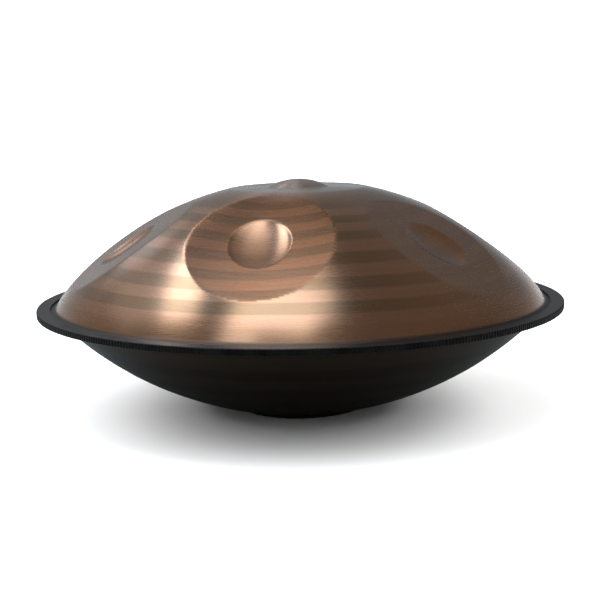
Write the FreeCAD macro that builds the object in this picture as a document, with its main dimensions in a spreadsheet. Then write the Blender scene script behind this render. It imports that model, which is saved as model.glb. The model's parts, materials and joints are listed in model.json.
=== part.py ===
import FreeCAD, Part
import math
import os
import Sketcher

# A handpan: two drawn steel shells bonded at a flat flange, with rubber edging clipped over the flange.
# Millimetres, +Z up, the player's side towards -Y, the origin at the middle of the ring that it rests on.

os.makedirs("parts", exist_ok=True)
doc = FreeCAD.newDocument("handpan")
sheet = doc.addObject("Spreadsheet::Sheet", "Dims")

DIMENSIONS = [
    ("steel", 1.2),               # thickness of the drawn sheet of both shells
    ("bond", 0.4),                # thickness of the glue line between the flanges
    ("seam_height", 114.9),       # middle of the glue line above the resting ring
    ("flange_radius", 280.5),     # outer edge of both flanges
    ("wall_radius", 263.3),       # where both shells bend out into the flange
    ("bend_radius", 5.5),         # outside radius of that bend
    ("dome_radius", 339.4),       # sphere of the upper shell
    ("shoulder_radius", 140.0),   # tighter arc between that sphere and the flange
    ("wall_angle", 58.7),         # slope of the upper shell where the flange bend begins
    ("bowl_radius", 361.5),       # sphere of the lower shell
    ("plateau_crown", 2000.0),    # radius of the almost flat top
    ("plateau_rise", 125.9),      # its top above the seam
    ("ding_radius", 32.0),        # half width of the bump on the plateau
    ("ding_rise", 7.8),           # height of the bump above the plateau
    ("ding_blend", 6.0),          # fillet around the foot of the bump
    ("dish_depth", 6.0),          # depth of the oval dishes in the middle of the tone fields
    ("dish_half_height", 12.0),   # upright half axis of the ellipsoid that forms a dish
    ("foot_radius", 68.0),        # outer radius of the resting ring around the port
    ("foot_round", 1.6),          # its rounded outer corner
    ("foot_blend", 1.8),          # fillet between the ring and the bowl
    ("port_radius", 50.0),        # opening of the sound port
    ("port_round", 3.0),          # rounded mouth of the port
    ("neck_length", 26.0),        # the port's inward neck, from the resting ring to its top
    ("glue_inner_radius", 268.5),
    ("trim_outer_radius", 283.5),
    ("trim_cover", 14.6),         # how far the edging reaches in over the flange
    ("trim_height", 7.0),
    ("trim_round", 2.3),          # rounded outer corners of the edging
    ("core_steel", 0.6),          # thickness of the clamping strip inside the edging
    ("core_cover", 2.3),          # rubber between the strip's legs and the edging's lips
]

# Tone fields, anticlockwise seen from above from the player's side: azimuth and tilt of the middle,
# half width along the rim, half length up the dome, turn about its own normal, and its dish's
# half width and half length.
TONE_FIELDS = [
    ("front", -13.8, 28.7, 75.0, 90.0, 13.6, 31.6, 42.0),
    ("right", 50.6, 32.4, 66.0, 82.0, 0.0, 29.7, 38.0),
    ("right_back", 99.0, 37.2, 66.0, 77.0, 0.0, 27.0, 34.0),
    ("back_right", 139.0, 33.0, 54.0, 66.0, 0.0, 24.0, 31.0),
    ("back", 173.0, 32.5, 50.0, 62.0, 0.0, 22.0, 28.0),
    ("back_left", 206.0, 32.5, 51.0, 64.0, 0.0, 23.0, 29.0),
    ("left_back", 240.0, 33.5, 56.0, 67.0, 0.0, 25.0, 32.0),
    ("left", 282.6, 33.6, 65.0, 79.0, 0.0, 29.0, 36.0),
]
CUT_MARGIN = 4.0      # how far a forming block reaches past the field that it flattens
CUT_HEIGHT = 14.0     # how far it stands out of the dome
VOID_DEPTH = 8.0      # how far the inside forms run on past the flange
LID_RADIUS = 100.0    # the block that flattens the plateau
LID_DEPTH = 12.0      # how far it reaches below the plateau's top
ORIGIN = (-1, 1)      # a sketch's own origin, as geometry and point
V_AXIS = -2           # a sketch's upright axis
START, END, CENTRE = 1, 2, 3
# At a 45 degree fold a strip's inside falls short by this share of its thickness.
FOLD = math.tan(math.radians(22.5))
UP = FreeCAD.Vector(0, 0, 1)


def fill_sheet():
    for row, (alias, value) in enumerate(DIMENSIONS, 1):
        sheet.set("A%d" % row, alias)
        sheet.set("B%d" % row, str(value))
        sheet.setAlias("B%d" % row, alias)
    doc.recompute()


def size(alias):
    """A driving dimension as a plain number."""
    return float(sheet.get(alias))


def bind(thing, **formulas):
    """Bind properties to formulas, in which <name> is the sheet's dimension of that name."""
    for prop, formula in formulas.items():
        thing.setExpression(prop.replace("__", "."), formula.replace("<", "Dims.").replace(">", ""))


class Profile:
    """A closed outline in a body's XZ plane, turned about Z."""

    def __init__(self, name):
        self.body = doc.addObject("PartDesign::Body", name)
        self.sketch = self.body.newObject("Sketcher::SketchObject", name + "_outline")
        plane = [one for one in self.body.Origin.OriginFeatures if one.Role == "XZ_Plane"][0]
        self.sketch.AttachmentSupport = [(plane, "")]
        self.sketch.MapMode = "FlatFace"
        self.driven = 0

    def line(self, start, end):
        ends = [FreeCAD.Vector(x, z, 0) for x, z in (start, end)]
        return self.sketch.addGeometry(Part.LineSegment(*ends), False)

    def arc(self, centre, radius, first, last):
        """An arc that runs anticlockwise from angle first to angle last, in degrees."""
        circle = Part.Circle(FreeCAD.Vector(centre[0], centre[1], 0), UP, radius)
        part_circle = Part.ArcOfCircle(circle, math.radians(first), math.radians(last))
        return self.sketch.addGeometry(part_circle, False)

    def rule(self, kind, *args):
        return self.sketch.addConstraint(Sketcher.Constraint(kind, *args))

    def spot(self, side, point):
        if side == ORIGIN[0]:
            return FreeCAD.Vector()
        geometry = self.sketch.Geometry[side]
        return {START: geometry.StartPoint, END: geometry.EndPoint}.get(point) or geometry.Center

    def drive(self, formula, kind, *args):
        """Give the outline a dimension that follows a formula; it starts at the size as drawn."""
        if kind == "Radius":
            value = self.sketch.Geometry[args[0]].Radius
        else:
            gap = self.spot(*args[2:]) - self.spot(*args[:2])
            value = gap.x if kind == "DistanceX" else gap.y
        index = self.rule(kind, *args, value)
        self.driven += 1
        name = "driven_%d" % self.driven
        self.sketch.renameConstraint(index, name)
        bind(self.sketch, **{"Constraints__" + name: formula})

    def turn(self):
        feature = self.body.newObject("PartDesign::Revolution", self.body.Name + "_turned")
        feature.Profile = self.sketch
        feature.ReferenceAxis = (self.sketch, ["V_Axis"])
        feature.Angle = 360.0
        self.body.Tip = feature
        return self.body


def joined(name, things):
    thing = doc.addObject("Part::MultiFuse", name)
    thing.Shapes = things
    return thing


def cut(name, base, tool):
    thing = doc.addObject("Part::Cut", name)
    thing.Base = base
    thing.Tool = tool
    return thing


def primitive(kind, name, **formulas):
    thing = doc.addObject("Part::" + kind, name)
    bind(thing, **formulas)
    return thing


def rounded(name, base, fillets):
    """Fillet circular edges about the axis, each given as its radius, height and fillet radius."""
    doc.recompute()
    edges = []
    for ring_radius, ring_height, fillet in fillets:
        misses = []
        for number, edge in enumerate(base.Shape.Edges, 1):
            box = edge.BoundBox
            if box.ZLength < 0.01:
                misses.append((math.hypot(box.XMax - ring_radius, box.ZMin - ring_height), number))
        miss, number = min(misses)
        if miss > 0.5:
            raise RuntimeError("no edge to round on " + name)
        edges.append((number, fillet, fillet))
    thing = doc.addObject("Part::Fillet", name)
    thing.Base = base
    thing.Edges = edges
    return thing


def flange_start(outline, side, inset, slope, slope_rule):
    """Draw the part of a shell's outline that both shells share: the flange and the bend into the wall.

    side is +1 for the upper shell and -1 for the lower. Returns the bend arc, the end of it that the
    wall takes up, the floor line that runs to the axis, and the bend arc's middle and radius.
    """
    steel = size("steel")
    bend = size("bend_radius") + inset
    face = size("seam_height") + side * (size("bond") / 2 + steel - inset)
    back = face - side * (VOID_DEPTH if inset else steel)
    degrees = math.degrees(slope)
    middle = (size("wall_radius") + size("bend_radius") * math.sin(slope), face + side * bend)
    rim = size("flange_radius")
    flange = outline.line((middle[0], face), (rim, face))
    edge = outline.line((rim, face), (rim, back))
    floor = outline.line((rim, back), (0.0, back))
    if side > 0:
        arc, foot, wall = outline.arc(middle, bend, 270 - degrees, 270), END, START
    else:
        arc, foot, wall = outline.arc(middle, bend, 90, 90 + degrees), START, END
    outline.rule("Tangent", arc, foot, flange, START)
    outline.rule("Coincident", flange, END, edge, START)
    outline.rule("Coincident", edge, END, floor, START)
    outline.rule("Horizontal", flange)
    outline.rule("Vertical", edge)
    outline.rule("Horizontal", floor)
    sign = "+" if side > 0 else "-"
    face_rule = "<seam_height> %s <bond> / 2 %s" % (sign, "" if inset else sign + " <steel>")
    outline.drive(face_rule, "DistanceY", *ORIGIN, edge, START)
    outline.drive("<flange_radius>", "DistanceX", *ORIGIN, edge, START)
    outline.drive("<wall_radius> + <bend_radius> * sin(%s)" % slope_rule, "DistanceX", *ORIGIN, flange, START)
    low, high = (END, START) if side > 0 else (START, END)
    outline.drive(str(VOID_DEPTH) if inset else "<steel>", "DistanceY", edge, low, edge, high)
    outline.drive("<bend_radius>" + (" + <steel>" if inset else ""), "Radius", arc)
    return arc, wall, floor, middle, bend


def close_on_axis(outline, top, top_end, floor, from_height, to_height):
    axis = outline.line((0.0, from_height), (0.0, to_height))
    outline.rule("Coincident", top, top_end, axis, START)
    outline.rule("Coincident", floor, END, axis, END)
    outline.rule("PointOnObject", axis, START, V_AXIS)
    outline.rule("PointOnObject", axis, END, V_AXIS)


def floor_height(side, inset):
    face = size("seam_height") + side * (size("bond") / 2 + size("steel") - inset)
    return face - side * (VOID_DEPTH if inset else size("steel"))


def dome_middle():
    """Height of the middle of the upper shell's sphere, from the arcs that lead down to the flange."""
    slope = math.radians(size("wall_angle"))
    bend = size("bend_radius")
    shoulder = size("shoulder_radius")
    shoulder_x = size("wall_radius") - shoulder * math.sin(slope)
    flange_top = size("seam_height") + size("bond") / 2 + size("steel")
    shoulder_z = flange_top + bend - (shoulder + bend) * math.cos(slope)
    return shoulder_z - math.sqrt((size("dome_radius") - shoulder) ** 2 - shoulder_x ** 2)


def plain_dome(name, inset):
    """The upper shell before its fields are pressed, as a full solid: its outside, or its inside
    when inset is one sheet."""
    outline = Profile(name)
    minus = " - <steel>" if inset else ""
    slope = math.radians(size("wall_angle"))
    slope_rule = "<wall_angle> * 1 deg"
    bend_arc, wall_end, floor, bend_middle, bend = flange_start(outline, 1, inset, slope, slope_rule)
    shoulder_radius = size("shoulder_radius") - inset
    reach = shoulder_radius + bend
    shoulder_middle = (bend_middle[0] - reach * math.sin(slope), bend_middle[1] - reach * math.cos(slope))
    dome_radius = size("dome_radius") - inset
    middle = dome_middle()
    meet = math.degrees(math.atan2(shoulder_middle[1] - middle, shoulder_middle[0]))
    shoulder = outline.arc(shoulder_middle, shoulder_radius, 90 - math.degrees(slope), meet)
    crown = outline.arc((0.0, middle), dome_radius, meet, 90)
    outline.rule("Tangent", shoulder, START, bend_arc, wall_end)
    outline.rule("Tangent", shoulder, END, crown, START)
    outline.rule("PointOnObject", crown, CENTRE, V_AXIS)
    outline.drive("<shoulder_radius>" + minus, "Radius", shoulder)
    outline.drive("<dome_radius>" + minus, "Radius", crown)
    wall_rule = "<wall_radius>" + (" - <steel> * sin(%s)" % slope_rule if inset else "")
    outline.drive(wall_rule, "DistanceX", *ORIGIN, shoulder, START)
    close_on_axis(outline, crown, END, floor, middle + dome_radius, floor_height(1, inset))
    return outline.turn()


def plain_bowl(name, inset):
    """The lower shell without its port, as a full solid: its outside, or its inside when inset is one
    sheet. The resting ring is a flat disc that stands a little proud of the bowl."""
    outline = Profile(name)
    slope = math.asin(size("wall_radius") / size("bowl_radius"))
    slope_rule = "asin(<wall_radius> / <bowl_radius>)"
    bend_arc, wall_end, floor, bend_middle, bend = flange_start(outline, -1, inset, slope, slope_rule)
    bowl_radius = size("bowl_radius") - inset
    bowl_middle = bend_middle[1] + (bowl_radius + bend) * math.cos(slope)
    corner_radius = size("foot_round") - inset
    corner = (size("foot_radius") - size("foot_round"), size("foot_round"))
    blend = size("foot_blend") + inset
    # The blend touches the ring's corner and the bowl from outside, so its middle is at the sum of
    # the radii from one, at the sum of blend and bowl from the other.
    reach, gap = bowl_radius + blend, corner_radius + blend
    drop = bowl_middle - corner[1]
    span = math.hypot(corner[0], drop)
    opening = math.acos((reach ** 2 + span ** 2 - gap ** 2) / (2 * reach * span))
    lean = math.atan2(corner[0], drop) + opening
    blend_middle = (reach * math.sin(lean), bowl_middle - reach * math.cos(lean))
    bowl_touch = 90 + math.degrees(lean)
    ring_touch = math.degrees(math.atan2(corner[1] - blend_middle[1], corner[0] - blend_middle[0])) % 360
    bowl = outline.arc((0.0, bowl_middle), bowl_radius, bowl_touch - 180, math.degrees(slope) - 90)
    blend_arc = outline.arc(blend_middle, blend, bowl_touch, ring_touch)
    ring = outline.arc(corner, corner_radius, -90, ring_touch - 180)
    flat = outline.line((corner[0], inset), (0.0, inset))
    outline.rule("Tangent", bowl, END, bend_arc, wall_end)
    outline.rule("Tangent", bowl, START, blend_arc, START)
    outline.rule("Tangent", blend_arc, END, ring, END)
    outline.rule("Tangent", ring, START, flat, START)
    outline.rule("Horizontal", flat)
    outline.rule("PointOnObject", bowl, CENTRE, V_AXIS)
    outline.drive("<bowl_radius>" + (" - <steel>" if inset else ""), "Radius", bowl)
    outline.drive("<foot_round>" + (" - <steel>" if inset else ""), "Radius", ring)
    outline.drive("<foot_blend>" + (" + <steel>" if inset else ""), "Radius", blend_arc)
    outline.drive("<foot_radius> - <foot_round>", "DistanceX", *ORIGIN, ring, CENTRE)
    outline.drive("<foot_round>", "DistanceY", *ORIGIN, ring, CENTRE)
    close_on_axis(outline, flat, END, floor, inset, floor_height(-1, inset))
    return outline.turn()


def field_forms(field, inset):
    """The block that flattens one tone field, and the ellipsoid that presses the dish in its middle.

    The field is straight across and slightly curved along, so that it meets the dome in an oval.
    """
    name, azimuth, tilt, half_width, half_length, turn, dish_width, dish_length = field
    tag = "_inside" if inset else "_outside"
    dome = size("dome_radius")
    sink = half_width ** 2 / (2 * dome)
    curve = 1 / (1 / dome - 2 * sink / half_length ** 2)
    facing = FreeCAD.Rotation(UP, azimuth) * FreeCAD.Rotation(FreeCAD.Vector(1, 0, 0), tilt)
    facing = facing * FreeCAD.Rotation(UP, turn)
    middle = FreeCAD.Vector(0, 0, dome_middle())

    def place(thing, x, y, z, extra=FreeCAD.Rotation()):
        thing.Placement = FreeCAD.Placement(middle + facing.multVec(FreeCAD.Vector(x, y, z)), facing * extra)

    wide, long = half_width + CUT_MARGIN, half_length + CUT_MARGIN
    low = dome - sink - size("steel") - long ** 2 / (2 * curve) - 1
    block = primitive("Box", name + "_block" + tag, Height="<dome_radius> + %g - %g" % (CUT_HEIGHT, low))
    block.Length = 2 * wide
    block.Width = 2 * long
    place(block, -wide, -long, low)
    drum = primitive("Cylinder", name + "_drum" + tag, Radius="%g%s" % (curve, " - <steel>" if inset else ""))
    drum.Height = 4 * wide
    place(drum, -2 * wide, 0, dome - sink - curve, FreeCAD.Rotation(FreeCAD.Vector(0, 1, 0), 90))
    plus = " + <steel>" if inset else ""
    rim_share = "sqrt(1 - (1 - <dish_depth> / <dish_half_height>) ^ 2)"
    dish = primitive("Ellipsoid", name + "_dish" + tag, Radius1="<dish_half_height>" + plus,
                     Radius2="%g / %s%s" % (dish_width, rim_share, plus),
                     Radius3="%g / %s%s" % (dish_length, rim_share, plus))
    place(dish, 0, 0, dome - sink + size("dish_half_height") - size("dish_depth"))
    return [cut(name + "_flattener" + tag, block, drum), dish]


def pressed_dome(inset):
    """The outside or inside of the upper shell with its plateau, fields, dishes and ding."""
    tag = "_inside" if inset else "_outside"
    minus = " - <steel>" if inset else ""
    formers = []
    for field in TONE_FIELDS:
        formers += field_forms(field, inset)
    lid = primitive("Cylinder", "lid" + tag, Radius=str(LID_RADIUS), Height=str(2 * LID_DEPTH),
                    Placement__Base__z="<seam_height> + <plateau_rise> - %g" % LID_DEPTH)
    crown = primitive("Sphere", "crown" + tag, Radius="<plateau_crown>" + minus,
                      Placement__Base__z="<seam_height> + <plateau_rise> - <plateau_crown>")
    formers.append(cut("plateau" + tag, lid, crown))
    pressed = cut("pressed" + tag, plain_dome("dome" + tag, inset), joined("formers" + tag, formers))
    bump_rule = "(<ding_radius> ^ 2 + <ding_rise> ^ 2) / (2 * <ding_rise>)"
    bump = primitive("Sphere", "ding" + tag, Radius=bump_rule + minus, Angle1="0",
                     Placement__Base__z="<seam_height> + <plateau_rise> + <ding_rise> - " + bump_rule)
    doc.recompute()
    # The ding's foot lies where its ball meets the plateau's large ball.
    ball, plateau = bump.Radius.Value, crown.Radius.Value
    apart = bump.Placement.Base.z - crown.Placement.Base.z
    above = (apart ** 2 + plateau ** 2 - ball ** 2) / (2 * apart)
    foot = (math.sqrt(plateau ** 2 - above ** 2), above + crown.Placement.Base.z, size("ding_blend") + inset)
    return rounded("domed" + tag, joined("with_ding" + tag, [pressed, bump]), [foot])


def upper_shell():
    return cut("top_shell", pressed_dome(0.0), pressed_dome(size("steel")))


def lower_shell():
    """The bowl with its resting ring and its sound port, whose neck is drawn inwards."""
    steel = size("steel")
    bowl = cut("bowl", plain_bowl("bowl_outside", 0.0), plain_bowl("bowl_inside", steel))
    neck = primitive("Cylinder", "neck", Radius="<port_radius> + <steel>", Height="<neck_length>")
    hole = primitive("Cylinder", "port_hole", Radius="<port_radius>", Height="<neck_length>")
    bored = cut("bored_bowl", joined("bowl_with_neck", [bowl, neck]), hole)
    mouth = (size("port_radius"), 0.0, size("port_round"))
    back = (size("port_radius") + steel, steel, size("port_round") - steel)
    return rounded("bottom_shell", bored, [mouth, back])


def lined_ring(name, corners):
    """A ring with straight sides. Each corner is its radius and height, then their formulas."""
    ring = Profile(name)
    count = len(corners)
    sides = [ring.line(corners[number][:2], corners[(number + 1) % count][:2]) for number in range(count)]
    for number, (_, _, radius_rule, height_rule) in enumerate(corners):
        ring.rule("Coincident", sides[number - 1], END, sides[number], START)
        ring.drive(radius_rule, "DistanceX", *ORIGIN, sides[number], START)
        ring.drive(height_rule, "DistanceY", *ORIGIN, sides[number], START)
    return ring.turn()


def glue_ring():
    """The bond line between the two flanges."""
    inner = (size("glue_inner_radius"), "<glue_inner_radius>")
    outer = (size("flange_radius"), "<flange_radius>")
    low = (size("seam_height") - size("bond") / 2, "<seam_height> - <bond> / 2")
    high = (size("seam_height") + size("bond") / 2, "<seam_height> + <bond> / 2")
    outline = [(inner, low), (outer, low), (outer, high), (inner, high)]
    return lined_ring("flange_adhesive", [(r[0], z[0], r[1], z[1]) for r, z in outline])


def clamping_core(wall, wall_rule):
    """The steel strip in the middle of the edging's wall, folded at 45 degrees round its corners."""
    steel = size("core_steel")
    outside = size("trim_outer_radius")
    gap, gap_rule = (wall - steel) / 2, "(%s - <core_steel>) / 2" % wall_rule
    bend = size("trim_round")
    fold, fold_rule = FOLD * steel, "%.6f * <core_steel>" % FOLD
    reach = size("trim_cover") - size("core_cover")
    tip = (outside - reach, "<trim_outer_radius> - <trim_cover> + <core_cover>")
    corner = (outside - bend, "<trim_outer_radius> - <trim_round>")
    web = (outside - gap, "<trim_outer_radius> - " + gap_rule)
    half, half_rule = size("trim_height") / 2, "<trim_height> / 2"
    # Along the upper half from the leg's tip to the web: first the strip's outside, then its inside.
    outer = [
        (tip, (half - gap, "%s - %s" % (half_rule, gap_rule))),
        (corner, (half - gap, "%s - %s" % (half_rule, gap_rule))),
        (web, (half - bend, half_rule + " - <trim_round>")),
    ]
    inner = [
        (tip, (half - gap - steel, "%s - %s - <core_steel>" % (half_rule, gap_rule))),
        ((corner[0] - fold, corner[1] + " - " + fold_rule),
         (half - gap - steel, "%s - %s - <core_steel>" % (half_rule, gap_rule))),
        ((web[0] - steel, web[1] + " - <core_steel>"),
         (half - bend - fold, "%s - <trim_round> - %s" % (half_rule, fold_rule))),
    ]
    way_round = [(1, outer), (-1, outer[::-1]), (-1, inner), (1, inner[::-1])]
    corners = []
    for side, run in way_round:
        for radius, rise in run:
            height_rule = "<seam_height> %s (%s)" % ("+" if side > 0 else "-", rise[1])
            corners.append((radius[0], size("seam_height") + side * rise[0], radius[1], height_rule))
    return lined_ring("trim_core", corners)


def rubber_strip(wall, wall_rule):
    """The edging's rubber with its core still filled: a U that opens towards the axis over the flanges."""
    ring = Profile("rubber_strip")
    middle = size("seam_height")
    web = size("trim_outer_radius")
    tip = web - size("trim_cover")
    half = size("trim_height") / 2
    bend = size("trim_round")
    corner, top, bottom = web - bend, middle + half, middle - half
    sides = [
        ring.line((tip, top), (corner, top)),
        ring.arc((corner, top - bend), bend, 0, 90),
        ring.line((web, top - bend), (web, bottom + bend)),
        ring.arc((corner, bottom + bend), bend, 270, 360),
        ring.line((corner, bottom), (tip, bottom)),
        ring.line((tip, bottom), (tip, bottom + wall)),
        ring.line((tip, bottom + wall), (corner, bottom + wall)),
        ring.arc((corner, bottom + bend), bend - wall, 270, 360),
        ring.line((web - wall, bottom + bend), (web - wall, top - bend)),
        ring.arc((corner, top - bend), bend - wall, 0, 90),
        ring.line((corner, top - wall), (tip, top - wall)),
        ring.line((tip, top - wall), (tip, top)),
    ]
    outer_top, outer_low, inner_low, inner_top = sides[1], sides[3], sides[7], sides[9]
    backwards = (outer_top, outer_low)
    arcs = backwards + (inner_low, inner_top)
    for number, side in enumerate(sides):
        after = sides[(number + 1) % len(sides)]
        leave = START if side in backwards else END
        enter = END if after in backwards else START
        smooth = side in arcs or after in arcs
        ring.rule("Tangent" if smooth else "Coincident", side, leave, after, enter)
    for number in (0, 4, 6, 10):
        ring.rule("Horizontal", sides[number])
    for number in (2, 5, 8, 11):
        ring.rule("Vertical", sides[number])
    tip_rule = "<trim_outer_radius> - <trim_cover>"
    ring.drive(tip_rule, "DistanceX", *ORIGIN, sides[5], START)
    ring.drive(tip_rule, "DistanceX", *ORIGIN, sides[11], START)
    ring.drive("<trim_outer_radius>", "DistanceX", *ORIGIN, sides[2], START)
    ring.drive("<seam_height> + <trim_height> / 2", "DistanceY", *ORIGIN, sides[0], START)
    ring.drive("<seam_height> - <trim_height> / 2", "DistanceY", *ORIGIN, sides[4], START)
    ring.drive(wall_rule, "DistanceY", sides[5], START, sides[5], END)
    ring.drive(wall_rule, "DistanceY", sides[11], START, sides[11], END)
    ring.drive(wall_rule, "DistanceX", sides[8], START, sides[2], END)
    for arc in backwards:
        ring.drive("<trim_round>", "Radius", arc)
    for arc in (inner_low, inner_top):
        ring.drive("<trim_round> - " + wall_rule, "Radius", arc)
    return ring.turn()


def edging():
    """The rubber edging, and the steel strip that is moulded into its wall."""
    wall = (size("trim_height") - size("bond")) / 2 - size("steel")
    wall_rule = "((<trim_height> - <bond>) / 2 - <steel>)"
    core = clamping_core(wall, wall_rule)
    return cut("edge_trim", rubber_strip(wall, wall_rule), core), core


def check_document():
    for thing in doc.Objects:
        if any(word in thing.State for word in ("Invalid", "Error")):
            raise RuntimeError("failed: " + thing.Name)


def write_part(thing, name):
    thing.Label = name
    shape = thing.Shape
    if shape.isNull() or not shape.isValid() or len(shape.Solids) != 1:
        raise RuntimeError("bad shape: " + name)
    shape.exportStep("parts/%s.step" % name)
    print(name, round(shape.Volume), "mm3")


fill_sheet()
top_shell = upper_shell()
bottom_shell = lower_shell()
flange_adhesive = glue_ring()
edge_trim, trim_core = edging()
doc.recompute()
check_document()
write_part(top_shell, "top_shell")
write_part(bottom_shell, "bottom_shell")
write_part(flange_adhesive, "flange_adhesive")
write_part(edge_trim, "edge_trim")
write_part(trim_core, "trim_core")
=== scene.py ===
import json
import math

import bpy
import numpy as np
from mathutils import Matrix, Vector

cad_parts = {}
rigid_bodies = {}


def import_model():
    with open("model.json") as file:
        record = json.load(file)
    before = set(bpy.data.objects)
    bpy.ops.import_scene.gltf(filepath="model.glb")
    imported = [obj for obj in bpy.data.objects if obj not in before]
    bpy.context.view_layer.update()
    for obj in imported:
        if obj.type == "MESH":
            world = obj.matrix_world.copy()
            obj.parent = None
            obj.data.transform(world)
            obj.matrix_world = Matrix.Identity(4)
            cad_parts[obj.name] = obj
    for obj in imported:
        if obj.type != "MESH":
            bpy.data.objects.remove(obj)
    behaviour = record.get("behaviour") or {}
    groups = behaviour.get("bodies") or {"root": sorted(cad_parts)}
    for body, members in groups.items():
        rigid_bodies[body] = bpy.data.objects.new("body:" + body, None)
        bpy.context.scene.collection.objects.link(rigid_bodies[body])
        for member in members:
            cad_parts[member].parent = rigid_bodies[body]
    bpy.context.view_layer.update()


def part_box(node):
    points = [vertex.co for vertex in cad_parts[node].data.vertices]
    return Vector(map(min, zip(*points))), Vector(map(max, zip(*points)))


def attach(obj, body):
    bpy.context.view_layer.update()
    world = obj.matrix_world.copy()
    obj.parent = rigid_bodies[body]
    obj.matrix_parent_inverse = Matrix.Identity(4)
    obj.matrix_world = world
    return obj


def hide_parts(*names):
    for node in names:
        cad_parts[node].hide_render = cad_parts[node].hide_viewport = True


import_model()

# A handpan: an upper steel shell with a ding and eight tone fields, a lower shell with a sound port,
# and ribbed rubber edging over the flange where they are bonded. Shapes are worked out in millimetres
# in the CAD frame and go into the meshes in metres.

MM = 0.001


def corners_mm(node):
    low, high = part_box(node)
    return np.array(low) / MM, np.array(high) / MM


GLUE_LOW, GLUE_HIGH = corners_mm("flange_adhesive")
TRIM_LOW, TRIM_HIGH = corners_mm("edge_trim")
SEAM = (GLUE_LOW[2] + GLUE_HIGH[2]) / 2
STEEL = 1.2                            # thickness of both shells
FLANGE_RADIUS = 280.5
UPPER_FACE = GLUE_HIGH[2] + STEEL      # top of the upper flange
LOWER_FACE = GLUE_LOW[2] - STEEL       # underside of the lower flange
WALL_RADIUS = 263.3                    # where both shells bend out into their flanges
BEND = 5.5                             # outside radius of that bend
CORNER = 0.25                          # rounding of cut steel edges

# The upper shell: a dome, a tighter shoulder that ends in the wall, an almost flat plateau and the ding.
DOME = 339.4
SHOULDER = 140.0
WALL_SLOPE = math.radians(58.7)
CROWN = 2000.0
PLATEAU_TOP = SEAM + 125.9
DING_HALF, DING_RISE, DING_BLEND = 32.0, 7.8, 1.4
DISH_DEPTH, DISH_HEIGHT = 6.0, 12.0
FIELD_EDGE, DISH_LIP = 0.5, 0.9        # widths of the soft creases, as heights of the blend
FIELD_REACH = 1.25                     # a field is worked out to this many half lengths from its middle

# Azimuth from the player's side, tilt, half width, half length, turn, dish half width and half length,
# and how strongly its heat bands show.
TONE_FIELDS = [
    (-13.8, 28.7, 75.0, 90.0, 13.6, 31.6, 42.0, 1.0),
    (50.6, 32.4, 66.0, 82.0, 0.0, 29.7, 38.0, 0.15),
    (99.0, 37.2, 66.0, 77.0, 0.0, 27.0, 34.0, 0.5),
    (139.0, 33.0, 54.0, 66.0, 0.0, 24.0, 31.0, 0.7),
    (173.0, 32.5, 50.0, 62.0, 0.0, 22.0, 28.0, 0.9),
    (206.0, 32.5, 51.0, 64.0, 0.0, 23.0, 29.0, 0.7),
    (240.0, 33.5, 56.0, 67.0, 0.0, 25.0, 32.0, 0.5),
    (282.6, 33.6, 65.0, 79.0, 0.0, 29.0, 36.0, 0.2),
]


# ---------------------------------------------------------------- surfaces

def turned_about_z(degrees):
    return np.array(Matrix.Rotation(math.radians(degrees), 3, "Z"))


def turned_about_x(degrees):
    return np.array(Matrix.Rotation(math.radians(degrees), 3, "X"))


BEND_X = WALL_RADIUS + BEND * math.sin(WALL_SLOPE)
BEND_Z = UPPER_FACE + BEND
SHOULDER_X = WALL_RADIUS - SHOULDER * math.sin(WALL_SLOPE)
SHOULDER_Z = BEND_Z - (SHOULDER + BEND) * math.cos(WALL_SLOPE)
DOME_Z = SHOULDER_Z - math.sqrt((DOME - SHOULDER) ** 2 - SHOULDER_X ** 2)
MEET = math.atan2(SHOULDER_X, SHOULDER_Z - DOME_Z)          # where the shoulder takes over from the dome
WALL_END = math.atan2(WALL_RADIUS, BEND_Z - BEND * math.cos(WALL_SLOPE) - DOME_Z)
NEAR_POLE = 0.8                        # directions that rise less than this miss the plateau


def smooth_min(a, b, blend):
    overlap = np.maximum(blend - np.abs(a - b), 0.0) / blend
    return np.minimum(a, b) - overlap * overlap * blend / 4


def smooth_max(a, b, blend):
    return -smooth_min(-a, -b, blend)


def ball_distance(up, middle, radius):
    """Distance along a direction with height up to a ball whose middle is above the dome's middle."""
    inside = radius ** 2 - middle ** 2 * (1 - up ** 2)
    return up * middle + np.sqrt(np.maximum(inside, 0.0))


class ToneField:
    """An oval facet of the dome, plain across and slightly curved along, with an elliptical dish."""

    def __init__(self, azimuth, tilt, half_width, half_length, turn, dish_width, dish_length, bands):
        self.axes = turned_about_z(azimuth) @ turned_about_x(tilt) @ turned_about_z(turn)
        sink = half_width ** 2 / (2 * DOME)
        self.curve = 1 / (1 / DOME - 2 * sink / half_length ** 2)
        self.base = DOME - sink
        share = math.sqrt(1 - (1 - DISH_DEPTH / DISH_HEIGHT) ** 2)
        self.dish = (dish_width / share, dish_length / share)
        self.opening = (dish_width, dish_length)
        self.reach = math.cos(FIELD_REACH * half_length / DOME)
        self.bands = bands

    def height(self, x, y):
        plain = self.base - self.curve + np.sqrt(self.curve ** 2 - y ** 2)
        share = (x / self.dish[0]) ** 2 + (y / self.dish[1]) ** 2
        dish = self.base + DISH_HEIGHT - DISH_DEPTH - DISH_HEIGHT * np.sqrt(np.maximum(1 - share, 0.0))
        return smooth_min(plain, dish, DISH_LIP)

    def distance(self, directions):
        """Distance from the dome's middle, or a large number away from the field."""
        local = directions @ self.axes
        near = local[:, 2] > self.reach
        found = np.full(len(directions), 2 * DOME)
        x, y, z = local[near].T
        far = np.full(len(z), self.base)
        for _ in range(8):      # closes in on where each direction meets the facet
            far = self.height(far * x, far * y) / z
        found[near] = far
        return found


FIELDS = [ToneField(*numbers) for numbers in TONE_FIELDS]


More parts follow.
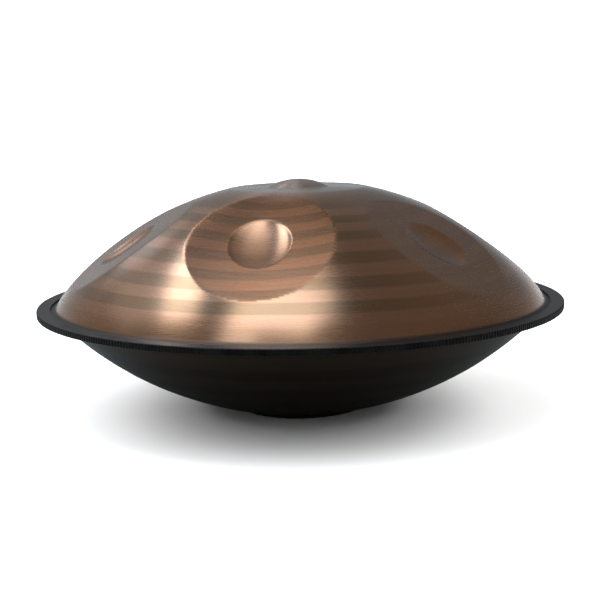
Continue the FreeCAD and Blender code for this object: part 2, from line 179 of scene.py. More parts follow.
def spread(polar, azimuth):
    """Unit directions from an angle off the axis and an azimuth from the player's side, anticlockwise."""
    return np.stack([np.sin(polar) * np.sin(azimuth), -np.sin(polar) * np.cos(azimuth), np.cos(polar)], -1)


def plain_distance(directions):
    """Distance to the shell without its tone fields and ding."""
    radial = np.hypot(directions[:, 0], directions[:, 1])
    up = directions[:, 2]
    along = radial * SHOULDER_X + up * (SHOULDER_Z - DOME_Z)
    shoulder = along + np.sqrt(np.maximum(SHOULDER ** 2 - (DOME - SHOULDER) ** 2 + along ** 2, 0.0))
    found = np.where(np.arctan2(radial, up) > MEET, shoulder, DOME)
    plateau = ball_distance(up, PLATEAU_TOP - CROWN - DOME_Z, CROWN)
    return smooth_min(found, np.where(up > NEAR_POLE, plateau, 2 * DOME), FIELD_EDGE)


def upper_distance(directions):
    """Distance from the dome's middle to the finished outside of the upper shell."""
    found = plain_distance(directions)
    for field in FIELDS:
        found = smooth_min(found, field.distance(directions), FIELD_EDGE)
    ball = (DING_HALF ** 2 + DING_RISE ** 2) / (2 * DING_RISE)
    middle = PLATEAU_TOP + DING_RISE - ball - DOME_Z
    up = directions[:, 2]
    edge = math.cos(math.asin(ball / middle)) + 1e-3      # flatter directions miss the ding's ball
    ding = np.where(up > edge, ball_distance(up, middle, ball), 0.0)
    return smooth_max(found, ding, DING_BLEND)


def upper_points(polar, azimuth):
    directions = spread(polar, azimuth)
    points = directions * upper_distance(directions)[:, None]
    points[:, 2] += DOME_Z
    return points


def upper_ring(polar, count):
    """Points and outward normals of the upper shell at one angle off the axis."""
    azimuth = np.arange(count) * 2 * math.pi / count
    lean = np.full(count, max(polar, 1e-4))
    step = 1e-3
    points = upper_points(lean, azimuth)
    out = upper_points(lean + step, azimuth) - upper_points(lean - step, azimuth)
    turn = step / np.sin(lean)
    around = upper_points(lean, azimuth + turn) - upper_points(lean, azimuth - turn)
    normals = np.cross(out, around)
    return points, normals / np.linalg.norm(normals, axis=1)[:, None]


# ---------------------------------------------------------------- rings and skins

def turned_ring(radius, height, out, up, count):
    azimuth = np.arange(count) * 2 * math.pi / count
    sine, cosine = np.sin(azimuth), -np.cos(azimuth)
    points = np.stack([radius * sine, radius * cosine, np.full(count, height)], 1)
    normals = np.stack([out * sine, out * cosine, np.full(count, up)], 1)
    return points, normals


def arc(centre, radius, first, last, count):
    """A run of (radius, height, normal) round a centre; clockwise runs are convex, the others hollow."""
    side = 1 if last < first else -1
    run = []
    for angle in np.radians(np.linspace(first, last, count)):
        out, up = math.cos(angle), math.sin(angle)
        run.append((centre[0] + radius * out, centre[1] + radius * up, side * out, side * up))
    return run


def line(start, end, count):
    """A straight run, its ends left out, whose normal is to the left of the way it goes."""
    along = np.array(end, float) - start
    out, up = np.array([-along[1], along[0]]) / np.linalg.norm(along)
    return [(*(start + along * share), out, up) for share in np.linspace(0, 1, count + 2)[1:-1]]


def rings_of(run, count):
    return [turned_ring(*spot, count) for spot in run]


def skin(name, rings, closed=False):
    """One closed mesh through rings of points. Neighbours may have a whole multiple of each other's
    number of points; a ring of one point is a pole."""
    starts = np.cumsum([0] + [len(points) for points, _ in rings])
    pairs = list(zip(range(len(rings)), range(1, len(rings))))
    if closed:
        pairs.append((len(rings) - 1, 0))
    faces = []
    for one, other in pairs:
        n, m = len(rings[one][0]), len(rings[other][0])
        a, b = int(starts[one]), int(starts[other])
        few, many = min(n, m), max(n, m)
        ratio = many // few
        for j in range(few):
            after = (j + 1) % few
            fan = [j * ratio + k for k in range(ratio)] + [(j * ratio + ratio) % many]
            if n == m:
                faces.append((a + j, b + j, b + after, a + after))
            elif few == 1:
                continue
            elif n < m:
                middle = ratio // 2
                for k in range(ratio):
                    near = j if k < middle else after
                    faces.append((a + near, b + fan[k], b + fan[k + 1]))
                faces.append((a + j, b + fan[middle], a + after))
            else:
                middle = ratio // 2
                for k in range(ratio):
                    near = j if k < middle else after
                    faces.append((a + fan[k], b + near, a + fan[k + 1]))
                faces.append((b + j, b + after, a + fan[middle]))
        if few == 1:
            for k in range(many):
                nxt = (k + 1) % many
                faces.append((a, b + k, b + nxt) if n == 1 else (b, a + nxt, a + k))
    points = np.concatenate([points for points, _ in rings])
    normals = np.concatenate([normals for _, normals in rings])
    mesh = bpy.data.meshes.new(name)
    mesh.from_pydata((points * MM).tolist(), [], faces)
    mesh.polygons.foreach_set("use_smooth", np.ones(len(mesh.polygons), bool))
    mesh.normals_split_custom_set_from_vertices(normals.tolist())
    thing = bpy.data.objects.new(name, mesh)
    bpy.context.scene.collection.objects.link(thing)
    return thing, points


def add_attribute(thing, name, values):
    attribute = thing.data.attributes.new(name, "FLOAT", "POINT")
    attribute.data.foreach_set("value", np.asarray(values, np.float32))


# ---------------------------------------------------------------- upper shell

COARSE, MIDDLE, FINE = 160, 320, 640     # points round a ring
# Rings of the dome in plan: from, to, step and points round. They are close at the foot of the ding and
# over the tone fields' creases.
DOME_RINGS = [
    (1.5, 28.0, 2.5, COARSE),
    (28.0, 38.0, 0.6, COARSE),
    (38.0, 67.0, 3.0, COARSE),
    (67.0, 76.0, 1.1, FINE),
    (76.0, 239.5, 1.65, FINE),
]
SHOULDER_RINGS_FROM = 240.0
SHOULDER_RINGS, INNER_RINGS = 16, 60


def polar_of(radius):
    return math.asin(radius / DOME)


def pole(height, up):
    return np.array([[0, 0, height]], float), np.array([[0, 0, up]], float)


def upper_shell():
    rings = [pole(PLATEAU_TOP + DING_RISE, 1.0)]
    for first, last, step, count in DOME_RINGS:
        rings += [upper_ring(polar_of(radius), count) for radius in np.arange(first, last, step)]
    start = polar_of(SHOULDER_RINGS_FROM)
    rings += [upper_ring(polar, MIDDLE) for polar in np.linspace(start, WALL_END, SHOULDER_RINGS)]
    bend_start = 270 - math.degrees(WALL_SLOPE)
    rim = FLANGE_RADIUS - CORNER
    outside = arc((BEND_X, BEND_Z), BEND, bend_start, 270, 7)[1:]
    outside += line((BEND_X, UPPER_FACE), (rim, UPPER_FACE), 4)
    outside += arc((rim, UPPER_FACE - CORNER), CORNER, 90, 0, 3)
    rings += rings_of(outside, MIDDLE)
    inside = arc((rim, UPPER_FACE - STEEL + CORNER), CORNER, 0, -90, 3)
    inside += line((rim, UPPER_FACE - STEEL), (BEND_X, UPPER_FACE - STEEL), 3)
    inside += arc((BEND_X, BEND_Z), BEND + STEEL, 270, bend_start, 6)
    rings += rings_of(inside, COARSE)
    for polar in np.linspace(WALL_END, 0.0, INNER_RINGS)[1:-1]:
        points, normals = upper_ring(polar, COARSE)
        rings.append((points - STEEL * normals, -normals))
    rings.append(pole(PLATEAU_TOP + DING_RISE - STEEL, -1.0))
    return skin("upper_steel_shell", rings)


# ---------------------------------------------------------------- lower shell

BOWL = 361.5
BOWL_SLOPE = math.asin(WALL_RADIUS / BOWL)
FOOT, FOOT_ROUND, FOOT_BLEND = 68.0, 1.6, 1.8      # resting ring, its corner, its foot on the bowl
PORT, PORT_ROUND, NECK = 50.0, 3.0, 26.0           # sound port, its mouth, and the top of its neck


def lower_shell():
    """A turned shell: inside from the neck out to the rim, then outside back to the port."""
    slope = math.degrees(BOWL_SLOPE)
    bend = (WALL_RADIUS + BEND * math.sin(BOWL_SLOPE), LOWER_FACE - BEND)
    bowl_z = bend[1] + (BOWL + BEND) * math.cos(BOWL_SLOPE)
    corner = (FOOT - FOOT_ROUND, FOOT_ROUND)
    reach, gap = BOWL + FOOT_BLEND, FOOT_ROUND + FOOT_BLEND
    drop = bowl_z - corner[1]
    span = math.hypot(corner[0], drop)
    opening = math.acos((reach ** 2 + span ** 2 - gap ** 2) / (2 * reach * span))
    lean = math.atan2(corner[0], drop) + opening
    blend = (reach * math.sin(lean), bowl_z - reach * math.cos(lean))
    blend_start = 90 + math.degrees(lean)
    blend_end = math.degrees(math.atan2(corner[1] - blend[1], corner[0] - blend[0])) % 360
    rim = FLANGE_RADIUS - CORNER
    neck_out = PORT + STEEL
    top = NECK - CORNER
    fillet = PORT_ROUND - STEEL

    inside = arc((neck_out - CORNER, top), CORNER, 90, 0, 3)
    inside += line((neck_out, top), (neck_out, STEEL + fillet), 4)
    inside += arc((neck_out + fillet, STEEL + fillet), fillet, 180, 270, 5)
    inside += line((neck_out + fillet, STEEL), (corner[0], STEEL), 1)
    inside += arc(corner, FOOT_ROUND - STEEL, -90, blend_end - 180, 4)
    inside += arc(blend, FOOT_BLEND + STEEL, blend_end, blend_start, 4)
    inside += arc((0, bowl_z), BOWL - STEEL, blend_start - 180, slope - 90, 40)
    inside += arc(bend, BEND + STEEL, 90 + slope, 90, 5)
    inside += line((bend[0], LOWER_FACE + STEEL), (rim, LOWER_FACE + STEEL), 3)
    inside += arc((rim, LOWER_FACE + STEEL - CORNER), CORNER, 90, 0, 3)
    outside = arc((rim, LOWER_FACE + CORNER), CORNER, 0, -90, 3)
    outside += line((rim, LOWER_FACE), (bend[0], LOWER_FACE), 4)
    outside += arc(bend, BEND, 90, 90 + slope, 7)
    outside += arc((0, bowl_z), BOWL, slope - 90, blend_start - 180, 110)[1:]
    outside += arc(blend, FOOT_BLEND, blend_start, blend_end, 7)[1:]
    outside += arc(corner, FOOT_ROUND, blend_end - 180, -90, 7)[1:]
    outside += line((corner[0], 0.0), (PORT + PORT_ROUND, 0.0), 3)
    outside += arc((PORT + PORT_ROUND, PORT_ROUND), PORT_ROUND, 270, 180, 8)
    outside += line((PORT, PORT_ROUND), (PORT, top), 5)
    outside += arc((PORT + CORNER, top), CORNER, 180, 90, 3)
    rings = rings_of(inside, COARSE) + rings_of(outside, MIDDLE)
    return skin("lower_steel_shell", rings, closed=True)


# ---------------------------------------------------------------- edging

TRIM_DEPTH = 14.6                      # how far it reaches in over the flanges
TRIM_WALL = 2.1
TRIM_ROUND, LIP_ROUND, SLOT_ROUND = 1.3, 0.7, 0.2
TRIM_INSIDE_CAD = 0.03                 # keeps it within the CAD mesh's facets

RIBS, RIB_DEPTH, POINTS_PER_RIB = 480, 0.5, 4
RIB_TOP_START, RIB_TOP_FADE = 1.3, 0.9         # from the outside, where ribs start on the top corner
RIB_BOTTOM_START, RIB_BOTTOM_FADE = 3.4, 1.6   # and on the bottom leg
LEG = -0.2                                     # surfaces that face further in than this have no ribs


def edging_section():
    """The U of rubber: its outside, with rounded corners and lips, and its slot."""
    top, bottom, outside = TRIM_HIGH[2], TRIM_LOW[2], TRIM_HIGH[0] - TRIM_INSIDE_CAD
    tip = outside - TRIM_DEPTH
    corner = outside - TRIM_ROUND
    slot_end = outside - TRIM_WALL - SLOT_ROUND
    run = arc((tip + LIP_ROUND, top - LIP_ROUND), LIP_ROUND, 180, 90, 6)
    run += line((tip + LIP_ROUND, top), (corner, top), 5)
    run += arc((corner, top - TRIM_ROUND), TRIM_ROUND, 90, 0, 9)
    run += line((outside, top - TRIM_ROUND), (outside, bottom + TRIM_ROUND), 3)
    run += arc((corner, bottom + TRIM_ROUND), TRIM_ROUND, 0, -90, 9)
    run += line((corner, bottom), (tip + LIP_ROUND, bottom), 5)
    run += arc((tip + LIP_ROUND, bottom + LIP_ROUND), LIP_ROUND, -90, -180, 6)
    slot = line((tip, bottom + LIP_ROUND), (tip, bottom + TRIM_WALL), 1)
    slot += arc((tip + CORNER, bottom + TRIM_WALL - CORNER), CORNER, 180, 90, 3)
    slot += line((tip + CORNER, bottom + TRIM_WALL), (slot_end, bottom + TRIM_WALL), 3)
    slot += arc((slot_end, bottom + TRIM_WALL + SLOT_ROUND), SLOT_ROUND, -90, 0, 4)
    slot += arc((slot_end, top - TRIM_WALL - SLOT_ROUND), SLOT_ROUND, 0, 90, 4)
    slot += line((slot_end, top - TRIM_WALL), (tip + CORNER, top - TRIM_WALL), 3)
    slot += arc((tip + CORNER, top - TRIM_WALL + CORNER), CORNER, 270, 180, 3)
    return run, slot


def rib_share(radius, height, out):
    """How deep the grooves between the ribs are here: all of the web, fading out round its corners."""
    if out < LEG:
        return 0.0
    start, fade = RIB_TOP_START, RIB_TOP_FADE
    if height < SEAM:
        start, fade = RIB_BOTTOM_START, RIB_BOTTOM_FADE
    return np.clip((radius - (TRIM_HIGH[0] - start)) / fade, 0.0, 1.0)


def ribbed_edging():
    run, slot = edging_section()
    count = RIBS * POINTS_PER_RIB
    phase = np.arange(count) * 2 * math.pi / POINTS_PER_RIB
    azimuth = np.arange(count) * 2 * math.pi / count
    sine, cosine = np.sin(azimuth), -np.cos(azimuth)
    around = np.stack([np.cos(azimuth), np.sin(azimuth), np.zeros(count)], 1)
    groove = 0.5 + 0.5 * np.cos(phase)
    swing = -np.sin(phase)
    rings = []
    for radius, height, out, up in run:
        depth = RIB_DEPTH * rib_share(radius, height, out)
        slant = depth * 0.5 * RIBS * swing / TRIM_HIGH[0]
        radii = radius - depth * groove * out
        heights = height - depth * groove * up
        points = np.stack([radii * sine, radii * cosine, heights], 1)
        normals = np.stack([out * sine, out * cosine, np.full(count, up)], 1) + slant[:, None] * around
        rings.append((points, normals / np.linalg.norm(normals, axis=1)[:, None]))
    rings += rings_of(slot, RIBS)
    return skin("ribbed_rubber_edging", rings, closed=True)


# ---------------------------------------------------------------- materials

class Nodes:
    """A small helper that wires the nodes of a material or a world."""

    def __init__(self, owner, output):
        owner.use_nodes = True
        self.tree = owner.node_tree
        self.tree.nodes.clear()
        self.output = self.add(output)

    def add(self, kind, inputs=None, **settings):
        node = self.tree.nodes.new("ShaderNode" + kind)
        for key, value in settings.items():
            setattr(node, key, value)
        for key, value in (inputs or {}).items():
            self.feed(node, key, value)
        return node

    def feed(self, node, key, value):
        socket = node.inputs[key]
        if isinstance(value, bpy.types.NodeSocket):
            self.tree.links.new(value, socket)
        else:
            socket.default_value = value

    def math(self, operation, a, b=0.5):
        return self.add("Math", {0: a, 1: b}, operation=operation).outputs[0]

    def length(self, x, y):
        return self.math("SQRT", self.math("ADD", self.math("MULTIPLY", x, x), self.math("MULTIPLY", y, y)))

    def remap(self, value, low, high, to_low, to_high, smooth=False):
        node = self.add("MapRange", {"Value": value, "From Min": low, "From Max": high,
                                     "To Min": to_low, "To Max": to_high})
        if smooth:
            node.interpolation_type = "SMOOTHSTEP"
        return node.outputs[0]

    def mix(self, share, a, b, blend="MIX"):
        node = self.add("Mix", data_type="RGBA", blend_type=blend)
        self.feed(node, 0, share)
        self.feed(node, 6, a)
        self.feed(node, 7, b)
        return node.outputs[2]

    def noise(self, vector, scale, detail=2.0, roughness=0.5):
        node = self.add("TexNoise", {"Vector": vector, "Scale": scale, "Detail": detail,
                                     "Roughness": roughness})
        return node.outputs[0]

    def vector(self, x, y, z):
        return self.add("CombineXYZ", {0: x, 1: y, 2: z}).outputs[0]

    def finish(self, kind, inputs):
        """Add the last shader and join it to the output."""
        self.tree.links.new(self.add(kind, inputs).outputs[0], self.output.inputs[0])


def new_material(name):
    material = bpy.data.materials.new(name)
    return material, Nodes(material, "OutputMaterial")


def round_coordinates(nodes, middle_height, side):
    """Object coordinates of a turned shell: its angle off the axis seen from the middle of its ball, its
    radius in metres, and the azimuth as a point on the unit circle."""
    place = nodes.add("TexCoord").outputs["Object"]
    x, y, z = nodes.add("SeparateXYZ", {0: place}).outputs
    radius = nodes.math("MAXIMUM", nodes.length(x, y), 1e-5)
    rise = nodes.math("MULTIPLY", nodes.math("SUBTRACT", z, middle_height), side)
    polar = nodes.math("ARCTAN2", radius, rise)
    return place, polar, radius, nodes.math("DIVIDE", x, radius), nodes.math("DIVIDE", y, radius)


HEAT_TINT = (0.58, 0.41, 0.25, 1)           # what the front field's deeper colour multiplies by
# Painted reflection on the plateau and ding: a pale grey steel colour standing in for the sheen seen there.
PLATEAU_SHEEN_COLOUR = (0.82, 0.62, 0.52, 1)
PLATEAU_SHEEN_SHARE, PLATEAU_SHEEN_FADE = 0.85, 40.0          # how strongly the painted sheen covers the plateau's steel colour, and over how many millimetres it ends
# Painted shade for the groove between the wall's bend and the edging's lip, and the radii where it starts
# and where it is full.
GROOVE_SHADE_COLOUR = (0.24, 0.19, 0.15, 1)
GROOVE_SHADE_FROM, GROOVE_SHADE_FULL, GROOVE_DULLING_ROUGHNESS = 0.2618, 0.2640, 0.3      # radii in metres
UPPER_FINISH = {
    "light": (0.70, 0.335, 0.17, 1), "dark": (0.41, 0.21, 0.09, 1), "cloud": (0.46, 0.24, 0.12, 1),
    "worn": (0.72, 0.38, 0.21, 1), "roughness": 0.27, "coat": 0.5, "plateau_sheen_until": 58.0}
# The lower shell is the same bronzed steel as the upper one. Its colours are painted much darker here, as
# painted shade for its underside.
LOWER_SHADED_FINISH = {
    "light": (0.125, 0.085, 0.055, 1), "dark": (0.07, 0.048, 0.032, 1), "cloud": (0.08, 0.06, 0.042, 1),
    "worn": (0.13, 0.095, 0.065, 1), "roughness": 0.34, "coat": 0.15, "plateau_sheen_until": None}


def steel_material(name, middle_height, ball_radius, side, finish):
    """Heat-bronzed steel, brushed in rings about the axis, with the rings of colour that the heat left."""
    material, nodes = new_material(name)
    place, polar, radius, cos_turn, sin_turn = round_coordinates(nodes, middle_height, side)
    arc_mm = nodes.math("MULTIPLY", polar, ball_radius)

    def along_the_rings(across, around, detail, roughness):
        """Noise drawn out along the rings: how fast it changes across them and around them."""
        turned = [nodes.math("MULTIPLY", part, around) for part in (cos_turn, sin_turn)]
        drawn_out = nodes.vector(nodes.math("MULTIPLY", arc_mm, across), *turned)
        return nodes.noise(drawn_out, 1.0, detail, roughness)

    # Brushing: close lines along the rings, a few centimetres long, over broader and fainter ones.
    brush = along_the_rings(1.1, 5.0, 3.0, 0.65)
    wide = along_the_rings(0.22, 3.0, 2.0, 0.5)
    cloud = nodes.noise(place, 9.0, 2.0, 0.5)

    # Heat rings, which wander a little on their way round.
    ring = nodes.add("Attribute", attribute_name="heat_ring").outputs["Fac"]
    depth = nodes.add("Attribute", attribute_name="heat_depth").outputs["Fac"]
    tint = nodes.add("Attribute", attribute_name="heat_tint").outputs["Fac"]
    slow = nodes.noise(nodes.vector(nodes.math("MULTIPLY", arc_mm, 0.02), cos_turn, sin_turn), 1.7, 1.0)
    wander = nodes.remap(slow, 0.0, 1.0, -0.07, 0.07)
    wave = nodes.math("COSINE", nodes.math("MULTIPLY", nodes.math("ADD", ring, wander), 2 * math.pi))
    band = nodes.math("MULTIPLY", nodes.remap(wave, -0.4, 0.4, 0.0, 1.0, smooth=True), depth)
    tone = nodes.mix(band, finish["light"], finish["dark"])
    tone = nodes.mix(tint, tone, nodes.mix(1.0, tone, HEAT_TINT, "MULTIPLY"))

    # Unevenness and wear.
    tone = nodes.mix(nodes.remap(wide, 0.35, 0.65, 0.0, 0.2), tone, finish["cloud"])
    tone = nodes.mix(nodes.remap(brush, 0.3, 0.7, 0.0, 0.10), tone, finish["worn"])
    tone = nodes.mix(nodes.remap(cloud, 0.35, 0.7, 0.0, 0.2), tone, finish["cloud"])
    sheen_until = finish["plateau_sheen_until"]
    if sheen_until is not None:
        # Painted reflection: the plateau and the ding get a lighter, greyer steel colour for the pale grey
        # sheen they show at a low angle.
        share = nodes.remap(arc_mm, sheen_until, sheen_until + PLATEAU_SHEEN_FADE, PLATEAU_SHEEN_SHARE, 0.0, smooth=True)
        tone = nodes.mix(share, tone, PLATEAU_SHEEN_COLOUR)

    # Painted shade in the groove by the edging: the steel colour is darkened in the bend and on the flange
    # between the wall and the edging's lip. There the steel is also rougher and has no clear film over the
    # heat tint.
    groove_shade_and_dulling = nodes.remap(radius, GROOVE_SHADE_FROM, GROOVE_SHADE_FULL, 0.0, 1.0, smooth=True)
    tone = nodes.mix(groove_shade_and_dulling, tone, GROOVE_SHADE_COLOUR)
    film = nodes.remap(groove_shade_and_dulling, 0.0, 1.0, finish["coat"], 0.0)
    rough = nodes.remap(brush, 0.25, 0.75, finish["roughness"] - 0.02, finish["roughness"] + 0.03)
    rough = nodes.math("ADD", rough, nodes.math("MULTIPLY", groove_shade_and_dulling, GROOVE_DULLING_ROUGHNESS))
    bump = nodes.add("Bump", {"Strength": 0.006, "Distance": 0.00005, "Height": brush})
    tangent = nodes.add("Tangent", direction_type="RADIAL", axis="Z")
    nodes.finish("BsdfPrincipled", {
        "Base Color": tone, "Roughness": rough, "Metallic": 1.0, "Anisotropic": 0.8,
        "Anisotropic Rotation": 0.25, "Normal": bump.outputs[0], "Tangent": tangent.outputs[0],
        "Specular Tint": (0.74, 0.9, 1.0, 1), "Coat Weight": film, "Coat Roughness": 0.28, "Coat IOR": 1.7})
    return material


def rubber_material():
    material, nodes = new_material("edging_rubber")
    coordinates = nodes.add("TexCoord")
    # The legs are smooth and the ribbed web between them is dull.
    rise = nodes.add("SeparateXYZ", {0: coordinates.outputs["Normal"]}).outputs[2]
    gloss = nodes.remap(nodes.math("ABSOLUTE", rise), 0.3, 0.95, 0.1, 0.6)
    grain = nodes.noise(coordinates.outputs["Object"], 1400.0, 3.0, 0.6)
    cloud = nodes.noise(coordinates.outputs["Object"], 40.0, 2.0, 0.5)
    share = nodes.remap(cloud, 0.35, 0.65, 0.0, 1.0)
    tone = nodes.mix(share, (0.002, 0.002, 0.002, 1), (0.004, 0.004, 0.004, 1))
    rough = nodes.remap(grain, 0.3, 0.7, 0.33, 0.45)
    bump = nodes.add("Bump", {"Strength": 0.25, "Distance": 0.0001, "Height": grain})
    nodes.finish("BsdfPrincipled", {"Base Color": tone, "Roughness": rough, "Normal": bump.outputs[0],
                                    "Specular IOR Level": gloss})
    return material


def adhesive_material():
    material, nodes = new_material("cured_adhesive")
    cloud = nodes.noise(nodes.add("TexCoord").outputs["Object"], 220.0, 3.0, 0.6)
    share = nodes.remap(cloud, 0.3, 0.7, 0.0, 1.0)
    tone = nodes.mix(share, (0.10, 0.09, 0.08, 1), (0.15, 0.135, 0.12, 1))
    rough = nodes.remap(cloud, 0.3, 0.7, 0.3, 0.5)
    bump = nodes.add("Bump", {"Strength": 0.3, "Distance": 0.0002, "Height": cloud})
    nodes.finish("BsdfPrincipled", {"Base Color": tone, "Roughness": rough, "Normal": bump.outputs[0]})
    return material


def core_material():
    """Zinc-coated strip, with the spangle of its coating."""
    material, nodes = new_material("clamping_steel")
    place = nodes.add("TexCoord").outputs["Object"]
    spangle = nodes.add("TexVoronoi", {"Vector": place, "Scale": 260.0}).outputs["Distance"]
    share = nodes.remap(spangle, 0.0, 0.8, 0.0, 1.0)
    tone = nodes.mix(share, (0.48, 0.49, 0.50, 1), (0.62, 0.63, 0.64, 1))
    rough = nodes.remap(spangle, 0.0, 0.8, 0.3, 0.42)
    bump = nodes.add("Bump", {"Strength": 0.1, "Distance": 0.0001, "Height": spangle})
    nodes.finish("BsdfPrincipled", {"Base Color": tone, "Roughness": rough, "Metallic": 1.0,
                                    "Normal": bump.outputs[0]})
    return material


# ---------------------------------------------------------------- the object

# Where the dark heat rings of the dome lie, in millimetres along its ball from the pole, and the place,
# pitch and sideways slant of those of the front field.
RING_PLACES = (113.4, 142.7, 172.0, 206.0, 240.0, 268.0, 295.0, 323.0)
FRONT_RING, FRONT_PITCH, FRONT_SLANT = 131.5, 29.5, 0.05
FIELD_SHIFT = 0.17                 # each other field's rings are this much out of step with the dome's
# The dome's rings are strong about one azimuth and faint elsewhere; they start round the plateau and are
# weak on the wall's foot.
RING_FAINT, RING_STRONG = 0.3, 0.85
RING_AZIMUTH, RING_SPAN = -18.0, 48.0
RINGS_FROM, RINGS_FULL = 70.0, 110.0
WALL_FOOT, WALL_FOOT_FADE, WALL_FOOT_LOSS = 276.0, 10.0, 0.8
DISH_KEEPS = 0.25                  # share of the front field's tint and rings that its dish has
DISH_FADE_FROM, DISH_FADE = 0.7, 0.4         # where that ends, by the square of its opening's size
LOWER_RING_PITCH, LOWER_RING_DEPTH = 33.0, 0.6


def heat_rings(points):
    """Ring number, ring strength and depth of the tint at each point of the upper shell."""
    x, y, z = points.T
    along = np.arctan2(np.hypot(x, y), z - DOME_Z) * DOME
    place = np.interp(along, RING_PLACES, range(len(RING_PLACES)))
    azimuth = np.degrees(np.arctan2(x, -y))
    depth = RING_FAINT + RING_STRONG * np.exp(-((azimuth - RING_AZIMUTH) / RING_SPAN) ** 4)
    tint = np.zeros(len(x))
    directions = points - [0, 0, DOME_Z]
    directions = directions / np.linalg.norm(directions, axis=1)[:, None]
    plain = plain_distance(directions)
    for number, field in enumerate(FIELDS):
        inside = field.distance(directions) < plain
        depth = np.where(inside, field.bands, depth)
        if number:
            place = np.where(inside, place + FIELD_SHIFT * number, place)
            continue
        place = np.where(inside, (along + FRONT_SLANT * x - FRONT_RING) / FRONT_PITCH, place)
        local = directions @ field.axes * DOME
        dish = (local[:, 0] / field.opening[0]) ** 2 + (local[:, 1] / field.opening[1]) ** 2
        share = np.clip((dish - DISH_FADE_FROM) / DISH_FADE, DISH_KEEPS, 1.0)
        tint = np.where(inside, share, 0.0)
        depth = np.where(inside, depth * share, depth)
    depth = depth * np.clip((along - RINGS_FROM) / (RINGS_FULL - RINGS_FROM), 0.0, 1.0)
    depth = depth * (1 - WALL_FOOT_LOSS * np.clip((along - WALL_FOOT) / WALL_FOOT_FADE, 0.0, 1.0))
    return place, depth, tint


upper, upper_mm = upper_shell()
for name, values in zip(("heat_ring", "heat_depth", "heat_tint"), heat_rings(upper_mm)):
    add_attribute(upper, name, values)
upper.data.materials.append(steel_material("bronzed_steel", DOME_Z * MM, DOME, 1.0, UPPER_FINISH))
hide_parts("top_shell")
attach(upper, "root")

lower, lower_mm = lower_shell()
reach = np.hypot(lower_mm[:, 0], lower_mm[:, 1])
add_attribute(lower, "heat_ring", reach / LOWER_RING_PITCH)
add_attribute(lower, "heat_depth", np.full(len(reach), LOWER_RING_DEPTH))
add_attribute(lower, "heat_tint", np.zeros(len(reach)))
lower.data.materials.append(steel_material("bronzed_steel_lower", BOWL * MM, BOWL, -1.0, LOWER_SHADED_FINISH))
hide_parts("bottom_shell")
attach(lower, "root")

trim, _ = ribbed_edging()
trim.data.materials.append(rubber_material())
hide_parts("edge_trim")
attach(trim, "root")


def dress_node(name, material):
    """Give a CAD node that is shown as it is a material."""
    for thing in bpy.data.objects:
        if thing.type == "MESH" and thing.name == name:
            thing.data.materials.clear()
            thing.data.materials.append(material)


dress_node("flange_adhesive", adhesive_material())
dress_node("trim_core", core_material())


# ---------------------------------------------------------------- camera, floor and light

SIGHT = math.radians(9.293)      # the camera's height above the horizon
AWAY = 1.5                       # from the middle of the seam
SENSOR, FOCAL = 36.0, 82.407     # millimetres
ROLL = math.radians(1.154)
SHIFT = (-0.000367, 0.001883)    # as shares of the frame

camera_data = bpy.data.cameras.new("camera")
camera_data.sensor_width = SENSOR
camera_data.lens = FOCAL
camera_data.shift_x, camera_data.shift_y = SHIFT
camera = bpy.data.objects.new("camera", camera_data)
bpy.context.scene.collection.objects.link(camera)
back = Vector((0.0, -math.cos(SIGHT), math.sin(SIGHT)))
camera.location = Vector((0.0, 0.0, SEAM * MM)) + back * AWAY
camera.rotation_euler = ((-back).to_track_quat("-Z", "Y").to_matrix()
                         @ Matrix.Rotation(-ROLL, 3, "Z")).to_euler()
bpy.context.scene.camera = camera

FLOOR = 40.0                     # half its side
FLOOR_SINK = 0.0002              # just under the resting ring


def floor_material():
    """White paper. In reflections it is painted a darker grey: a painted shadow round the object and
    painted shade in front of it.
    """
    material, nodes = new_material("floor_paper")
    x, y, _ = nodes.add("SeparateXYZ", {0: nodes.add("TexCoord").outputs["Object"]}).outputs
    paper = nodes.add("BsdfDiffuse", {"Color": (0.92, 0.92, 0.92, 1)})
    # Painted shadow and shade: the paper colour seen in reflections, darker near the object and in front of
    # it.
    painted_floor_shadow = nodes.math("MULTIPLY", nodes.remap(nodes.length(x, y), 0.2, 0.75, 0.1, 0.42),
                      nodes.remap(y, -0.5, -0.1, 0.1, 1.0))
    shadowed_reflection = nodes.add("BsdfDiffuse", {"Color": painted_floor_shadow})
    reflected = nodes.add("LightPath").outputs["Is Glossy Ray"]
    nodes.finish("MixShader", {0: reflected, 1: paper.outputs[0], 2: shadowed_reflection.outputs[0]})
    return material


floor_mesh = bpy.data.meshes.new("floor")
floor_corners = [(-FLOOR, -FLOOR, 0), (FLOOR, -FLOOR, 0), (FLOOR, FLOOR, 0), (-FLOOR, FLOOR, 0)]
floor_mesh.from_pydata(floor_corners, [], [(0, 1, 2, 3)])
floor_mesh.materials.append(floor_material())
floor = bpy.data.objects.new("floor", floor_mesh)
floor.location.z = -FLOOR_SINK
bpy.context.scene.collection.objects.link(floor)

AIM = Vector((0.0, 0.0, 0.12))
LAMP_DISTANCE = 2.0
COOL = (0.77, 0.96, 1.2)         # the softboxes' colour, against the bronze's warmth


def softbox(name, direction, size, radiance):
    """A softbox in a direction from the object, its first side level and its second one leaning over."""
    data = bpy.data.lights.new(name, "AREA")
    data.shape = "RECTANGLE"
    data.size, data.size_y = size
    data.energy = radiance * math.pi * size[0] * size[1]
    data.color = COOL
    lamp = bpy.data.objects.new(name, data)
    lamp.location = AIM + Vector(direction).normalized() * LAMP_DISTANCE
    lamp.rotation_euler = (AIM - lamp.location).to_track_quat("-Z", "Y").to_euler()
    lamp.visible_camera = False
    bpy.context.scene.collection.objects.link(lamp)


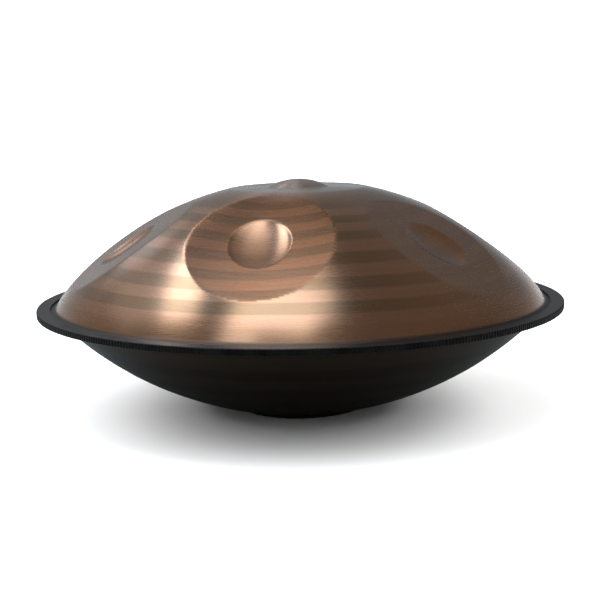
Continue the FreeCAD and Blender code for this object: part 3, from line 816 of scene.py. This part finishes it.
softbox("overhead_box", (-0.115, -0.28, 0.95), (1.05, 1.06), 3.0)
softbox("overhead_glow", (-0.2, 0.13, 0.97), (0.65, 0.62), 1.3)
softbox("front_glow", (-0.38, -0.58, 0.72), (0.45, 0.45), 2.0)
softbox("left_strip", (-0.515, 0.19, 0.83), (1.3, 0.40), 4.4)
softbox("left_glow", (-0.7, 0.22, 0.67), (1.0, 0.7), 0.45)
softbox("back_left_glow", (-0.53, 0.66, 0.53), (0.4, 0.4), 1.0)


# The room, as brightness by height from the horizon, 0, to straight up, 1. To the camera it is white.
WHITE = 1.05
# What the steel mirrors: a pale backdrop behind, a brighter low wall on the right, and dimness in front.
BEHIND = [(0.0, (0.6, 0.61, 0.62)), (0.12, (0.37, 0.375, 0.38)), (0.3, (0.26, 0.26, 0.26)),
          (0.55, (0.36, 0.36, 0.36)), (0.8, (0.16, 0.16, 0.16)), (1.0, (0.12, 0.12, 0.12))]
RIGHT = [(0.0, (0.75, 0.76, 0.77)), (0.1, (0.43, 0.44, 0.45)), (0.2, (0.17, 0.18, 0.19)),
         (0.55, (0.14, 0.16, 0.18)), (0.8, (0.17, 0.185, 0.2)), (1.0, (0.14, 0.155, 0.17))]
BEFORE = [(0.0, (0.03, 0.03, 0.03)), (0.3, (0.06, 0.06, 0.06)), (0.6, (0.12, 0.12, 0.12)),
          (1.0, (0.12, 0.12, 0.12))]
# What lights the floor: more from both sides than from the front and the back.
AHEAD = [(0.0, (1.2, 1.2, 1.2)), (0.45, (1.15, 1.15, 1.15)), (0.65, (0.6, 0.6, 0.6)),
         (1.0, (0.5, 0.5, 0.5))]
ASIDE = [(0.0, (0.05, 0.05, 0.05)), (0.42, (0.05, 0.05, 0.05)), (0.52, (1.0, 1.0, 1.0)),
         (0.75, (1.0, 1.0, 1.0)), (0.9, (0.2, 0.2, 0.2))]
AHEAD_STRENGTH, ASIDE_STRENGTH = 1.22, 6.9


def room_light(nodes, height, stops, strength=1.0):
    """Light from all round whose colour follows its height."""
    ramp = nodes.add("ValToRGB", {0: height})
    elements = ramp.color_ramp.elements
    elements[0].position, elements[0].color = stops[0][0], (*stops[0][1], 1)
    elements[1].position, elements[1].color = stops[-1][0], (*stops[-1][1], 1)
    for position, colour in stops[1:-1]:
        elements.new(position).color = (*colour, 1)
    return nodes.add("Background", {0: ramp.outputs[0], 1: strength}).outputs[0]


def studio():
    world = bpy.data.worlds.new("studio")
    bpy.context.scene.world = world
    nodes = Nodes(world, "OutputWorld")

    def mixed(share, one, other):
        return nodes.add("MixShader", {0: share, 1: one, 2: other}).outputs[0]

    def rising(value, low, high):
        return nodes.remap(value, low, high, 0.0, 1.0, smooth=True)

    direction = nodes.add("TexCoord").outputs["Generated"]
    x, y, height = nodes.add("SeparateXYZ", {0: direction}).outputs
    behind, right, before = (room_light(nodes, height, stops) for stops in (BEHIND, RIGHT, BEFORE))
    room = mixed(rising(y, -0.1, 0.9), before, mixed(rising(x, -0.1, 0.35), behind, right))
    daylight = mixed(rising(nodes.math("ABSOLUTE", x), 0.3, 0.7),
                     room_light(nodes, height, AHEAD, AHEAD_STRENGTH),
                     room_light(nodes, height, ASIDE, ASIDE_STRENGTH))
    white = nodes.add("Background", {0: (1, 1, 1, 1), 1: WHITE}).outputs[0]
    path = nodes.add("LightPath").outputs
    lit = mixed(path["Is Diffuse Ray"], room, daylight)
    nodes.finish("MixShader", {0: path["Is Camera Ray"], 1: lit, 2: white})


studio()
bpy.context.scene.view_settings.view_transform = "Standard"
